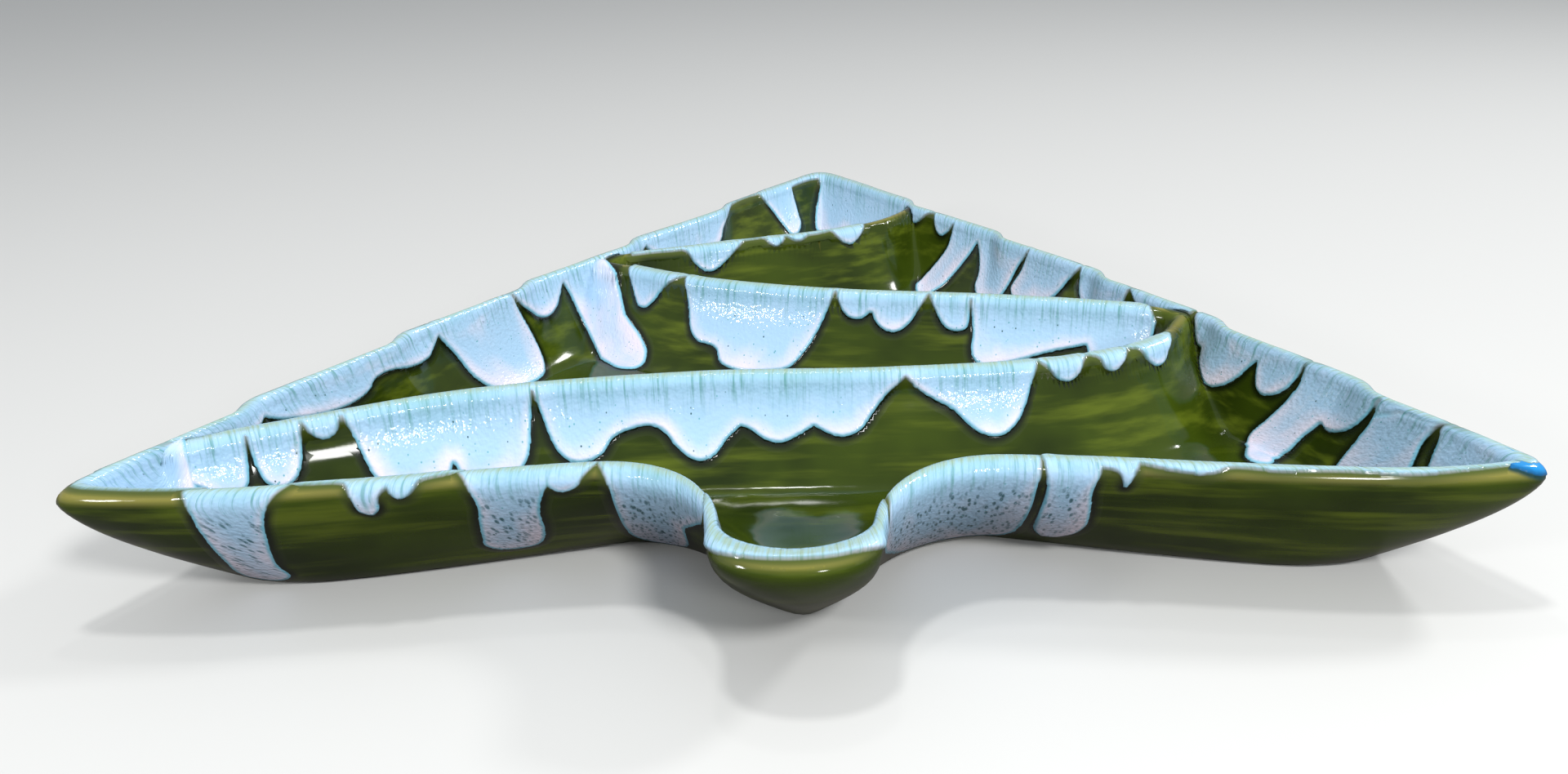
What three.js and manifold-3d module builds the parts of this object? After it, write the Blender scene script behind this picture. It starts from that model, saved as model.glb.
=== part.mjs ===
// Divided serving tray in the outline of a stepped conifer, in glazed earthenware.
// A cast shell with a flared wall and a trunk lobe carries three divider legs that zigzag from wall
// to wall, and a second glaze lies in runs over the rim, the dividers and the front.
// Millimetres, +Z up, +Y towards the tip of the tree, the table at z = 0.
import * as THREE from 'three';
import { mergeVertices } from 'three/addons/utils/BufferGeometryUtils.js';
import Module from 'manifold-3d';

const wasm = await Module();
wasm.setup();

// Plan of the rim, measured from the middle of the line between the two front corners
const cornerHalfWidth = 171; // half the distance between the front corners
const tipReach = 300; // where the two sides would meet ahead of the corner line
const sideBow = 8; // how far the stepped sides bulge over a straight line
const tierCount = 6;
const tierStep = 4.5; // each tier overhangs the one below by this much
const tierRun = 7; // length of the slant from one tier to the next
const topTierShare = 0.19; // share of a side that the top tier takes
const stepRadius = 3;
const cornerRadius = 5;
const tipRadius = 14;
const trunkReach = 38; // lip of the trunk, on the other side of the corner line
const trunkHalfWidth = 18.5;
const trunkShoulder = 25; // widest point of the trunk, from the corner line
const scallopHalfWidth = 46; // where the front edge comes closest to the tip
const scallopDepth = 7;
const frontSag = 9; // how far the front edge bellies out towards its corners

// Section through the wall
const rimHeight = 36;
const rimRadius = 3.3; // rolled lip
const floorThickness = 7;
const wallInset = 30; // foot of the hull inside the rim
const hullFullness = 1.35;
const footRounding = 1.5;
const coveReach = 45; // from the rim to where the inner wall meets the floor
const keelHalfWidth = 9; // flat of the foot under the trunk
const footCornerInset = 18; // where front and side of the foot would meet, inside the front corner
const footCornerDepth = 19; // and behind the corner line
const footCornerCut = 30; // length of each that the round of the foot takes

// Divider legs
const dividerDrop = 1; // crest below the top of the rim
const dividerCrestRadius = 3;
const dividerFootHalfWidth = 22;
const dividerFlare = 1.7;

// Fullness of the curves, as shares of the sizes they run between
const cornerCut = 0.45; // most of an edge that a rounded corner takes
const lipBelly = 0.55;
const lipFall = 0.6;
const throatEase = 0.35;
const scallopBelly = 1.7;
const frontCornerPull = 0.78;
const keelDepth = 1.3; // foot behind the lip of the trunk, in wall insets
const footTipDepth = 1.5; // and behind the tip
const keelBelly = 0.2;
const footFrontPull = 0.6;
const hullSpread = 0.8;
const coveLean = 0.14;
const coveStart = 0.56;
const coveSweep = 0.6;
const crestTurn = Math.PI / 2.4; // how far the round of a divider's crest goes over
const tonguePower = 2.5; // squareness of a run's end

// Fits
const seatGap = 0.3; // between pieces that lie against each other
const glazeThickness = 0.9;

// Facets
const rimPitch = 9.5; // length of one facet along the rim
const dividerPitch = 9;
const hullSteps = 5;
const lipSteps = 6;
const coveSteps = 6;
const crestSteps = 2;
const faceSteps = 4;

const glazeGreen = new THREE.Color('#3d4a17');
const glazeBlue = new THREE.Color('#8fc3cf');
const glazeTouch = new THREE.Color('#1f7fc0');

const lerp = THREE.MathUtils.lerp;
const plan = (x, y) => new THREE.Vector2(x, y);

// A corner of an outline turned into a short round
function roundedCorner(before, corner, after, radius) {
  const cut = Math.min(radius, corner.distanceTo(before) * cornerCut, corner.distanceTo(after) * cornerCut);
  const enter = corner.clone().add(before.clone().sub(corner).setLength(cut));
  const leave = corner.clone().add(after.clone().sub(corner).setLength(cut));
  return new THREE.QuadraticBezierCurve(enter, corner, leave).getPoints(2);
}

const frontCorner = plan(cornerHalfWidth, 0);
const tip = plan(0, tipReach);
const sideLength = frontCorner.distanceTo(tip);

// A point of the bowed side line, some way inside it
function onSide(share, inset) {
  const outward = plan(tip.y - frontCorner.y, frontCorner.x - tip.x).normalize();
  const bulge = sideBow * 4 * share * (1 - share) - inset;
  return frontCorner.clone().lerp(tip, share).addScaledVector(outward, bulge);
}

// One side of the rim from the front corner to the tip: each tier leans in, then steps out again
function sideCorners() {
  const points = [frontCorner];
  for (let tier = 1; tier < tierCount; tier += 1) {
    const share = (tier * (1 - topTierShare)) / (tierCount - 1);
    points.push(onSide(share - tierRun / sideLength, tierStep), onSide(share, 0));
  }
  points.push(tip);
  return points;
}

// The corners of an outline, with long runs between them cut to the facet length
function dividedPoints(points, pitch) {
  const divided = [points[0]];
  for (let i = 1; i < points.length; i += 1) {
    const pieces = Math.max(1, Math.round(points[i].distanceTo(points[i - 1]) / pitch));
    for (let piece = 1; piece <= pieces; piece += 1) {
      divided.push(points[i - 1].clone().lerp(points[i], piece / pieces));
    }
  }
  return divided;
}

const curvePoints = (curve) => curve.getSpacedPoints(Math.round(curve.getLength() / rimPitch));

// How far along an outline each of its points lies, from 0 to 1
function sharesAlong(points) {
  const run = [0];
  for (let i = 1; i < points.length; i += 1) {
    run.push(run[i - 1] + points[i].distanceTo(points[i - 1]));
  }
  return run.map((length) => length / run.at(-1));
}

// Right half of the rim as three stretches: trunk, front edge, stepped side
function rimStretches() {
  const shoulder = plan(trunkHalfWidth, -trunkShoulder);
  const scallop = plan(scallopHalfWidth, scallopDepth);
  const corners = sideCorners();
  const lip = new THREE.CubicBezierCurve(plan(0, -trunkReach), plan(trunkHalfWidth * lipBelly, -trunkReach),
    plan(trunkHalfWidth, -lerp(trunkShoulder, trunkReach, lipFall)), shoulder);
  const throat = new THREE.CubicBezierCurve(shoulder, plan(trunkHalfWidth, -trunkShoulder * throatEase),
    plan(lerp(trunkHalfWidth, scallopHalfWidth, throatEase), scallopDepth), scallop);
  const front = new THREE.CubicBezierCurve(scallop, plan(scallopHalfWidth * scallopBelly, scallopDepth),
    plan(cornerHalfWidth * frontCornerPull, -frontSag), corners[0]);
  const frontPoints = curvePoints(front);
  const cornerRound = roundedCorner(frontPoints.at(-2), corners[0], corners[1], cornerRadius);
  const side = [cornerRound[1], cornerRound[2]];
  for (let i = 1; i < corners.length - 1; i += 1) {
    side.push(...roundedCorner(corners[i - 1], corners[i], corners[i + 1], stepRadius));
  }
  const mirroredTier = plan(-corners.at(-2).x, corners.at(-2).y);
  const tipRound = roundedCorner(corners.at(-2), corners.at(-1), mirroredTier, tipRadius);
  side.push(tipRound[0], tipRound[1]);
  return {
    trunk: [...curvePoints(lip), ...curvePoints(throat).slice(1)],
    front: [...frontPoints.slice(0, -1), cornerRound[0], cornerRound[1]],
    side: dividedPoints(side, rimPitch),
  };
}

// The foot follows the rim without its steps, and lies inside it all round
function footStretches(rim) {
  const keel = plan(0, wallInset * keelDepth - trunkReach);
  const scallop = plan(scallopHalfWidth, scallopDepth + wallInset);
  const corner = plan(cornerHalfWidth - footCornerInset, footCornerDepth);
  const footTip = plan(0, tipReach - wallInset * footTipDepth);
  const frontPull = plan(lerp(scallop.x, corner.x, footFrontPull), corner.y);
  const outward = plan(footTip.y - corner.y, corner.x - footTip.x).normalize();
  const sidePull = corner.clone().lerp(footTip, 0.5).addScaledVector(outward, sideBow * 2);
  const enter = corner.clone().add(frontPull.clone().sub(corner).setLength(footCornerCut));
  const leave = corner.clone().add(sidePull.clone().sub(corner).setLength(footCornerCut));
  const [before, after] = [enter.clone().lerp(corner, 0.5), leave.clone().lerp(corner, 0.5)];
  const turn = before.clone().lerp(after, 0.5);
  const front = new THREE.CurvePath();
  front.add(new THREE.QuadraticBezierCurve(scallop, frontPull, enter));
  front.add(new THREE.QuadraticBezierCurve(enter, before, turn));
  const side = new THREE.CurvePath();
  side.add(new THREE.QuadraticBezierCurve(turn, after, leave));
  side.add(new THREE.QuadraticBezierCurve(leave, sidePull, footTip));
  const curves = {
    trunk: new THREE.CubicBezierCurve(keel, plan(keelHalfWidth, keel.y),
      plan(lerp(keelHalfWidth, scallopHalfWidth, keelBelly), scallop.y), scallop),
    front,
    side,
  };
  const feet = {};
  for (const [name, points] of Object.entries(rim)) {
    feet[name] = sharesAlong(points).map((share) => curves[name].getPointAt(share));
  }
  return feet;
}

// Closed ring of columns, each a rim point, the same without steps, its foot, and its place on its stretch
function rimColumns() {
  const rim = rimStretches();
  const foot = footStretches(rim);
  const half = [];
  for (const stretch of ['trunk', 'front', 'side']) {
    const shares = sharesAlong(rim[stretch]);
    for (let i = 0; i + 1 < shares.length; i += 1) {
      const even = stretch === 'side' ? onSide(shares[i], tierStep / 2) : rim[stretch][i];
      half.push({ stretch, share: shares[i], rim: rim[stretch][i], even, foot: foot[stretch][i], hand: 1 });
    }
  }
  const tipColumn = { stretch: 'side', share: 1, rim: rim.side.at(-1), foot: foot.side.at(-1), hand: 1 };
  half.push({ ...tipColumn, even: tipColumn.rim });
  const mirrored = (p) => plan(-p.x, p.y);
  const mirror = half.slice(1, -1).reverse().map((c) => ({
    ...c, rim: mirrored(c.rim), even: mirrored(c.even), foot: mirrored(c.foot), hand: -1,
  }));
  return [...half, ...mirror];
}

// Wall section from the foot, up the hull, over the lip and down to the floor, as inset and height
function wallSection() {
  const lipHeight = rimHeight - rimRadius;
  const hull = [];
  for (let i = 0; i <= hullSteps; i += 1) {
    const z = lerp(footRounding, lipHeight, (i / hullSteps) ** hullSpread);
    hull.push(plan(wallInset * ((lipHeight - z) / lipHeight) ** hullFullness, z));
  }
  const lip = [];
  for (let i = 1; i < lipSteps; i += 1) {
    const turn = (Math.PI * i) / lipSteps;
    lip.push(plan(rimRadius * (1 - Math.cos(turn)), lipHeight + rimRadius * Math.sin(turn)));
  }
  const lipInside = plan(rimRadius * 2, lipHeight);
  const inner = new THREE.CubicBezierCurve(lipInside,
    plan(lerp(lipInside.x, coveReach, coveLean), rimHeight * coveStart),
    plan(coveReach * coveSweep, floorThickness), plan(coveReach, floorThickness)).getPoints(coveSteps);
  return [plan(wallInset + footRounding, 0), ...hull, ...lip, ...inner];
}

// The same section moved outwards from the clay by a distance
function movedSection(section, distance) {
  return section.map((p, i) => {
    const before = section[Math.max(i - 1, 0)];
    const after = section[Math.min(i + 1, section.length - 1)];
    const normal = plan(before.y - after.y, after.x - before.x).normalize();
    return p.clone().addScaledVector(normal, distance);
  });
}

const columns = rimColumns();
const section = wallSection();
const crestIndex = section.reduce((best, p, i) => (p.y > section[best].y ? i : best), 0);

// The steps fade out down the wall
function onWall(column, point) {
  const inward = point.x / wallInset;
  const fade = THREE.MathUtils.clamp(inward, 0, 1);
  const top = column.rim.clone().lerp(column.even, fade);
  return [lerp(top.x, column.foot.x, inward), lerp(top.y, column.foot.y, inward), point.y];
}

function geometryOf(vertices, triangles) {
  const geometry = new THREE.BufferGeometry();
  geometry.setAttribute('position', new THREE.Float32BufferAttribute(vertices.flat(), 3));
  geometry.setIndex(triangles.flat());
  return geometry;
}

// Rings of equal length, skinned one to the next, with flat ends; inward for the space inside the skin
function loft(rings, inward) {
  const size = rings[0].length;
  const triangles = [];
  for (let r = 0; r + 1 < rings.length; r += 1) {
    for (let i = 0; i < size; i += 1) {
      const [a, b] = [r * size + i, r * size + ((i + 1) % size)];
      triangles.push([a, b, b + size], [a, b + size, a + size]);
    }
  }
  const cap = (start, flip) => {
    const outline = rings[start].map((p) => plan(p[0], p[1]));
    for (const face of THREE.ShapeUtils.triangulateShape(outline, [])) {
      const corners = face.map((i) => start * size + i);
      triangles.push(flip ? corners.reverse() : corners);
    }
  };
  cap(0, true);
  cap(rings.length - 1, false);
  if (inward) triangles.forEach((face) => face.reverse());
  return geometryOf(rings.flat(), triangles);
}

function shellGeometry() {
  return loft(section.map((point) => columns.map((column) => onWall(column, point))), false);
}

// The hollow of the shell, a seat gap clear of it, closed above the rim
function hollowGeometry() {
  const inside = movedSection(section, seatGap).slice(crestIndex);
  const above = plan(inside[0].x, rimHeight + rimRadius);
  const rings = [above, ...inside].map((point) => columns.map((column) => onWall(column, point)));
  return loft(rings, true);
}

// Half section of a divider from its crest to its foot, as distance from the middle and height
function dividerSection() {
  const crest = rimHeight - dividerDrop;
  const points = [];
  for (let i = 0; i <= crestSteps; i += 1) {
    const turn = crestTurn * (i / crestSteps);
    points.push(plan(dividerCrestRadius * Math.sin(turn), crest - dividerCrestRadius * (1 - Math.cos(turn))));
  }
  const top = points.at(-1);
  for (let i = 1; i <= faceSteps; i += 1) {
    const down = i / faceSteps;
    points.push(plan(lerp(top.x, dividerFootHalfWidth, down ** dividerFlare),
      lerp(top.y, floorThickness + seatGap, down)));
  }
  return points;
}

// Routes of the three legs as shares of the half width and of the height of the tree
const dividerRoutes = {
  lower: [[-0.965, 0.073], [-0.737, 0.142], [-0.538, 0.193], [-0.193, 0.227], [0.158, 0.231],
    [0.433, 0.252], [0.585, 0.298], [0.678, 0.39]],
  middle: [[0.66, 0.366], [0.59, 0.392], [0.357, 0.428], [0.02, 0.462], [-0.216, 0.508],
    [-0.374, 0.56], [-0.51, 0.597]],
  upper: [[-0.453, 0.588], [-0.333, 0.615], [-0.138, 0.655], [0.039, 0.691], [0.148, 0.737], [0.234, 0.813]],
};

function dividerStations(leg) {
  const points = dividerRoutes[leg].map(([x, y]) => new THREE.Vector3(x * cornerHalfWidth, y * tipReach, 0));
  const route = new THREE.CatmullRomCurve3(points, false, 'centripetal');
  const count = Math.round(route.getLength() / dividerPitch);
  const stations = [];
  for (let i = 0; i <= count; i += 1) {
    const at = route.getPointAt(i / count);
    const tangent = route.getTangentAt(i / count);
    stations.push({ share: i / count, at, side: plan(tangent.y, -tangent.x) });
  }
  return stations;
}

// A point beside the route of a leg: positive distances lie on the trunk side
function besideRoute(station, distance, height) {
  return [station.at.x + station.side.x * distance, station.at.y + station.side.y * distance, height];
}

function dividerGeometry(leg, growth) {
  const plain = dividerSection();
  const half = movedSection(plain, growth);
  half.at(-1).set(plain.at(-1).x + growth * 2, plain.at(-1).y - growth);
  const stations = dividerStations(leg);
  const outline = [...half.slice(1).reverse().map((p) => plan(-p.x, p.y)), ...half];
  const rings = stations.map((s) => outline.map((p) => besideRoute(s, p.x, p.y)));
  const size = outline.length;
  const triangles = [];
  for (let r = 0; r + 1 < rings.length; r += 1) {
    for (let i = 0; i < size; i += 1) {
      const [a, b] = [r * size + i, r * size + ((i + 1) % size)];
      triangles.push([a, b, b + size], [a, b + size, a + size]);
    }
  }
  const last = (rings.length - 1) * size;
  for (const face of THREE.ShapeUtils.triangulateShape(outline, [])) {
    triangles.push(face, face.map((i) => last + i).reverse());
  }
  return geometryOf(rings.flat(), triangles);
}

// Solids for cutting, and back again
function toSolid(geometry) {
  const merged = mergeVertices(geometry, 1e-5);
  return new wasm.Manifold(new wasm.Mesh({
    numProp: 3,
    vertProperties: merged.attributes.position.array,
    triVerts: Uint32Array.from(merged.index.array),
  }));
}

function fromSolid(solid) {
  const mesh = solid.getMesh();
  const geometry = new THREE.BufferGeometry();
  geometry.setAttribute('position', new THREE.Float32BufferAttribute(mesh.vertProperties, 3));
  geometry.setIndex([...mesh.triVerts]);
  return geometry;
}

// Arc length of each point of a section, measured from one of its points
function runsFrom(points, start) {
  const run = [0];
  for (let i = 1; i < points.length; i += 1) {
    run.push(run[i - 1] + points[i].distanceTo(points[i - 1]));
  }
  return run.map((length) => length - run[start]);
}

function atRun(points, runs, run) {
  const next = Math.max(1, runs.findIndex((length) => length >= run - 1e-9));
  const part = (run - runs[next - 1]) / (runs[next] - runs[next - 1]);
  return points[next - 1].clone().lerp(points[next], part);
}

// How far a coat has run down at a place along it: a narrow band, and a round tongue for each lobe
function coatDrop(coat, place) {
  return coat.lobes.reduce((drop, [middle, width, length]) => {
    const across = Math.abs(place - middle) / (width / 2);
    return across < 1 ? Math.max(drop, rimHeight * length * Math.sqrt(1 - across ** tonguePower)) : drop;
  }, rimHeight * coat.band);
}

// A coat of glaze: stations along the clay, each with a section to lie on and a way to place a point
function coatGeometry(stations, points, crest, place, coat) {
  const runs = runsFrom(points, crest);
  const under = movedSection(points, seatGap);
  const over = movedSection(points, seatGap + glazeThickness);
  const shares = stations.map((_, i) => i / (stations.length - 1));
  const reach = shares.map((share) => [-coatDrop(coat.far, share), coatDrop(coat.near, share)]);
  const lowest = Math.min(...reach.map((r) => r[0]));
  const highest = Math.max(...reach.map((r) => r[1]));
  const rows = [lowest, ...runs.filter((run) => run > lowest && run < highest), highest];
  const vertices = [];
  for (const layer of [under, over]) {
    stations.forEach((station, i) => {
      rows.forEach((run) => {
        const clamped = THREE.MathUtils.clamp(run, reach[i][0], reach[i][1]);
        vertices.push(place(station, atRun(layer, runs, clamped)));
      });
    });
  }
  const [wide, deep] = [stations.length, rows.length];
  const index = (layer, i, r) => layer * wide * deep + i * deep + r;
  const triangles = [];
  const quad = (a, b, c, d) => triangles.push([a, b, c], [a, c, d]);
  for (let i = 0; i + 1 < wide; i += 1) {
    for (let r = 0; r + 1 < deep; r += 1) {
      quad(index(1, i, r), index(1, i + 1, r), index(1, i + 1, r + 1), index(1, i, r + 1));
      quad(index(0, i, r), index(0, i, r + 1), index(0, i + 1, r + 1), index(0, i + 1, r));
    }
    quad(index(0, i, 0), index(0, i + 1, 0), index(1, i + 1, 0), index(1, i, 0));
    quad(index(1, i, deep - 1), index(1, i + 1, deep - 1), index(0, i + 1, deep - 1), index(0, i, deep - 1));
  }
  for (let r = 0; r + 1 < deep; r += 1) {
    quad(index(0, 0, r), index(1, 0, r), index(1, 0, r + 1), index(0, 0, r + 1));
    quad(index(1, wide - 1, r), index(0, wide - 1, r), index(0, wide - 1, r + 1), index(1, wide - 1, r + 1));
  }
  return withoutSlivers(geometryOf(vertices, triangles));
}

// Rows that run together at the edge of a coat leave empty triangles, which are dropped
function withoutSlivers(geometry) {
  const merged = mergeVertices(geometry, 1e-4);
  const faces = [];
  for (let i = 0; i < merged.index.count; i += 3) {
    const face = [0, 1, 2].map((k) => merged.index.getX(i + k));
    if (new Set(face).size === 3) faces.push(...face);
  }
  merged.setIndex(faces);
  return merged;
}

// Columns of the rim from one place to another, in the order trunk, right side, tip, left side
function columnsBetween([fromHand, fromStretch, fromShare], [toHand, toStretch, toShare]) {
  const nearest = (hand, stretch, share) => columns.reduce((best, column, i) => {
    const matches = column.stretch === stretch && (column.hand === hand || share === 1);
    const closer = best < 0 || Math.abs(column.share - share) < Math.abs(columns[best].share - share);
    return matches && closer ? i : best;
  }, -1);
  const first = nearest(fromHand, fromStretch, fromShare);
  const last = nearest(toHand, toStretch, toShare);
  if (first < last) return columns.slice(first, last + 1);
  return [...columns.slice(first), ...columns.slice(0, last + 1)];
}

const right = 1;
const left = -1;
const bare = { band: 0.04, lobes: [] };
const rimBand = { band: 0.14, lobes: [] };

// Coats on the wall. A lobe is its middle and width as shares of the coat's length, then its run down the
// wall from the crest of the rim as a share of the rim's height: near is the inside, far the outside.
const wallCoats = {
  right_front_glaze: {
    from: [right, 'side', 0.04], to: [right, 'side', 0.31], far: bare,
    near: {
      band: 0.17,
      lobes: [[0.1, 0.2, 0.83], [0.36, 0.24, 0.94], [0.6, 0.2, 0.72], [0.78, 0.2, 0.61], [0.93, 0.14, 0.31]],
    },
  },
  right_middle_glaze: {
    from: [right, 'side', 0.44], to: [right, 'side', 0.71], far: bare,
    near: {
      band: 0.19,
      lobes: [[0.12, 0.24, 0.33], [0.42, 0.36, 0.83], [0.72, 0.2, 0.92], [0.92, 0.16, 0.33]],
    },
  },
  tip_glaze: {
    from: [right, 'side', 0.86], to: [left, 'side', 0.68], far: bare,
    near: {
      band: 0.14,
      lobes: [[0.1, 0.16, 0.39], [0.32, 0.24, 0.56], [0.5, 0.16, 0.61], [0.64, 0.14, 0.19],
        [0.84, 0.28, 0.36]],
    },
  },
  left_wall_glaze: {
    from: [left, 'side', 0.52], to: [left, 'side', 0.16], far: bare,
    near: {
      band: 0.17,
      lobes: [[0.1, 0.2, 0.94], [0.3, 0.16, 0.44], [0.47, 0.26, 0.83], [0.78, 0.4, 0.56]],
    },
  },
  left_corner_glaze: {
    from: [left, 'side', 0.05], to: [left, 'front', 0.9], far: bare,
    near: { band: 0.22, lobes: [[0.4, 0.8, 0.39]] },
  },
  front_left_run_glaze: {
    from: [left, 'front', 0.86], to: [left, 'front', 0.7],
    near: rimBand, far: { band: 0.75, lobes: [[0.5, 1.2, 0.92]] },
  },
  front_left_rim_glaze: {
    from: [left, 'front', 0.63], to: [left, 'front', 0.48], near: rimBand, far: { band: 0.14, lobes: [] },
  },
  front_middle_run_glaze: {
    from: [left, 'front', 0.41], to: [left, 'front', 0.28],
    near: rimBand, far: { band: 0.56, lobes: [[0.5, 1.2, 0.69]] },
  },
  left_throat_run_glaze: {
    from: [left, 'front', 0.19], to: [left, 'front', 0.03],
    near: rimBand, far: { band: 0.5, lobes: [[0.5, 1.2, 0.69]] },
  },
  trunk_lip_glaze: {
    from: [left, 'trunk', 0.6], to: [right, 'trunk', 0.6],
    near: { band: 0.19, lobes: [] }, far: bare,
  },
  right_throat_run_glaze: {
    from: [right, 'front', 0.02], to: [right, 'front', 0.25],
    near: rimBand, far: { band: 0.61, lobes: [[0.4, 1.3, 0.78]] },
  },
  front_right_run_glaze: {
    from: [right, 'front', 0.31], to: [right, 'front', 0.43],
    near: rimBand, far: { band: 0.47, lobes: [[0.5, 1.2, 0.61]] },
  },
  right_corner_touch: {
    from: [right, 'front', 0.95], to: [right, 'side', 0.012],
    near: { band: 0.11, lobes: [] }, far: { band: 0.08, lobes: [] },
  },
};

// Coats on the dividers, between two shares of a leg: near is the face towards the trunk, and the
// lobes count from the end of the leg's route
const dividerCoats = {
  lower_divider_glaze: {
    leg: 'lower', from: 0.1, to: 0.86, far: { band: 0.11, lobes: [] },
    near: {
      band: 0.17,
      lobes: [[0.16, 0.18, 0.56], [0.36, 0.14, 0.5], [0.5, 0.22, 0.67], [0.74, 0.2, 0.78],
        [0.94, 0.16, 0.72]],
    },
  },
  middle_divider_glaze: {
    leg: 'middle', from: 0.22, to: 0.86, far: { band: 0.11, lobes: [] },
    near: {
      band: 0.14,
      lobes: [[0.22, 0.34, 0.75], [0.44, 0.12, 0.33], [0.58, 0.14, 0.33], [0.84, 0.4, 0.56]],
    },
  },
  upper_divider_glaze: {
    leg: 'upper', from: 0.24, to: 0.72, far: { band: 0.11, lobes: [] },
    near: { band: 0.11, lobes: [[0.3, 0.3, 0.22], [0.82, 0.36, 0.42]] },
  },
};

const tray = new THREE.Group();

function addPiece(name, geometry, colour, roughness) {
  const material = new THREE.MeshStandardMaterial({ color: colour, roughness, metalness: 0 });
  const mesh = new THREE.Mesh(geometry, material);
  mesh.name = name;
  tray.add(mesh);
}

const hollow = toSolid(hollowGeometry());
const legRoom = {};
for (const leg of Object.keys(dividerRoutes)) {
  legRoom[leg] = toSolid(dividerGeometry(leg, seatGap));
}
const lowerLeg = toSolid(dividerGeometry('lower', 0)).intersect(hollow);
const middleLeg = toSolid(dividerGeometry('middle', 0)).intersect(hollow).subtract(legRoom.lower);
const upperLeg = toSolid(dividerGeometry('upper', 0)).intersect(hollow).subtract(legRoom.middle);

addPiece('tray_shell', shellGeometry(), glazeGreen, 0.2);
addPiece('lower_divider', fromSolid(lowerLeg), glazeGreen, 0.2);
addPiece('middle_divider', fromSolid(middleLeg), glazeGreen, 0.2);
addPiece('upper_divider', fromSolid(upperLeg), glazeGreen, 0.2);

for (const [name, coat] of Object.entries(wallCoats)) {
  const stations = columnsBetween(coat.from, coat.to);
  const colour = name === 'right_corner_touch' ? glazeTouch : glazeBlue;
  const coating = toSolid(coatGeometry(stations, section, crestIndex, onWall, coat));
  const clear = Object.values(legRoom).reduce((solid, room) => solid.subtract(room), coating);
  addPiece(name, fromSolid(clear), colour, 0.25);
}

const dividerHalf = dividerSection();
const dividerWhole = [...dividerHalf.slice(1).reverse().map((p) => plan(-p.x, p.y)), ...dividerHalf];
for (const [name, coat] of Object.entries(dividerCoats)) {
  const stations = dividerStations(coat.leg).filter((s) => s.share >= coat.from && s.share <= coat.to);
  stations.reverse();
  const place = (station, point) => besideRoute(station, point.x, point.y);
  const coating = toSolid(coatGeometry(stations, dividerWhole, dividerHalf.length - 1, place, coat));
  addPiece(name, fromSolid(coating.intersect(hollow)), glazeBlue, 0.25);
}

const extent = new THREE.Box3().setFromObject(tray);
tray.position.y = -(extent.min.y + extent.max.y) / 2;

export default tray;
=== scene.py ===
import math
from functools import partial
import bpy
import numpy as np
from mathutils import Matrix, Vector
from mathutils.bvhtree import BVHTree
from mathutils.kdtree import KDTree


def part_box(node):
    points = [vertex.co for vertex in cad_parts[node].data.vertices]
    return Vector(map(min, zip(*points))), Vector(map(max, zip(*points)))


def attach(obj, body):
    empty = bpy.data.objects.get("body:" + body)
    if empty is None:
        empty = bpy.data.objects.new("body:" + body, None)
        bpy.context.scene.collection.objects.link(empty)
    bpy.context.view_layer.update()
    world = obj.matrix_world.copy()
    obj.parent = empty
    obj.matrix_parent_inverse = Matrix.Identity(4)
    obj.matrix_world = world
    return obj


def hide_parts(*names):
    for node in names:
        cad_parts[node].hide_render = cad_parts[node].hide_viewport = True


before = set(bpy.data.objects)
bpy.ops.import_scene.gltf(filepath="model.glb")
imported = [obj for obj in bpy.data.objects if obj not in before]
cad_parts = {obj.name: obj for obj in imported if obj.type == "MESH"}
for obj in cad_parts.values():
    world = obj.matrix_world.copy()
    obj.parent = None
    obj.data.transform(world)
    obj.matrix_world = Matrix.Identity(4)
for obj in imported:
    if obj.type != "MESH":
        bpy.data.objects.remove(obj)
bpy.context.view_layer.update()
mm = 0.001

# the clay dish: plan from the middle of the line between the front corners, heights from the table, in mm
dish = dict(
    cornerHalfWidth=171.0, tipReach=300.0, sideBow=8.0, tierCount=6, tierStep=4.5, tierRun=7.0,
    topTierShare=0.19, stepRadius=3.0, cornerRadius=5.0, tipRadius=14.0,
    cornerCut=0.45,  # most of an edge that a rounded corner takes
    cornerLead=20,  # points back along the front that aim its corner
    trunkReach=38.0, trunkHalfWidth=18.5, trunkShoulder=25.0, lipBelly=0.55, lipFall=0.6, throatEase=0.35,
    scallopHalfWidth=46.0, scallopDepth=7.0, scallopBelly=1.7, frontSag=9.0, frontCornerPull=0.78,
    rimHeight=36.0, rimRadius=3.3, floorThickness=7.0,
    wallInset=30.0, hullFullness=1.35, hullSpread=0.8, footRounding=1.5,
    coveReach=45.0, coveLean=0.14, coveStart=0.56, coveSweep=0.6,
    keelHalfWidth=9.0, keelDepth=1.3, keelBelly=0.2, footTipDepth=1.5, footFrontPull=0.6,
    footCornerInset=18.0, footCornerDepth=19.0, footCornerCut=30.0,
    fillet=5.0, leastFillet=0.1,  # clay worked smooth where a divider meets wall and floor
    columnPitch=2.1, curvePoints=200, cornerPoints=9,
    hullRows=16, lipRows=14, innerRows=30, floorRows=96, floorRun=1.333, poleReach=95.0,
)
# the row frame is centred on the dish, so the corner line lies a little off its X axis
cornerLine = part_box("tray_shell")[0].y / mm + dish["trunkReach"]
print("frame loaded, corner line at", round(cornerLine, 2), "mm")


def between(first, second, share):
    return first + (second - first) * share


def bezier(controls, share):
    points = [np.asarray(c, float)[None, :] for c in controls]
    t = np.asarray(share, float)[:, None]
    while len(points) > 1:
        points = [a * (1 - t) + b * t for a, b in zip(points, points[1:])]
    return points[0]


def runOf(points):  # run along a line to each of its points
    step = np.linalg.norm(np.diff(points, axis=0), axis=1)
    return np.concatenate([[0.0], np.cumsum(step)])


def atShare(points, share):  # places at shares of the whole run
    run = runOf(points)
    place = np.asarray(share) * run[-1]
    return np.stack([np.interp(place, run, line) for line in points.T], -1)


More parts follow.
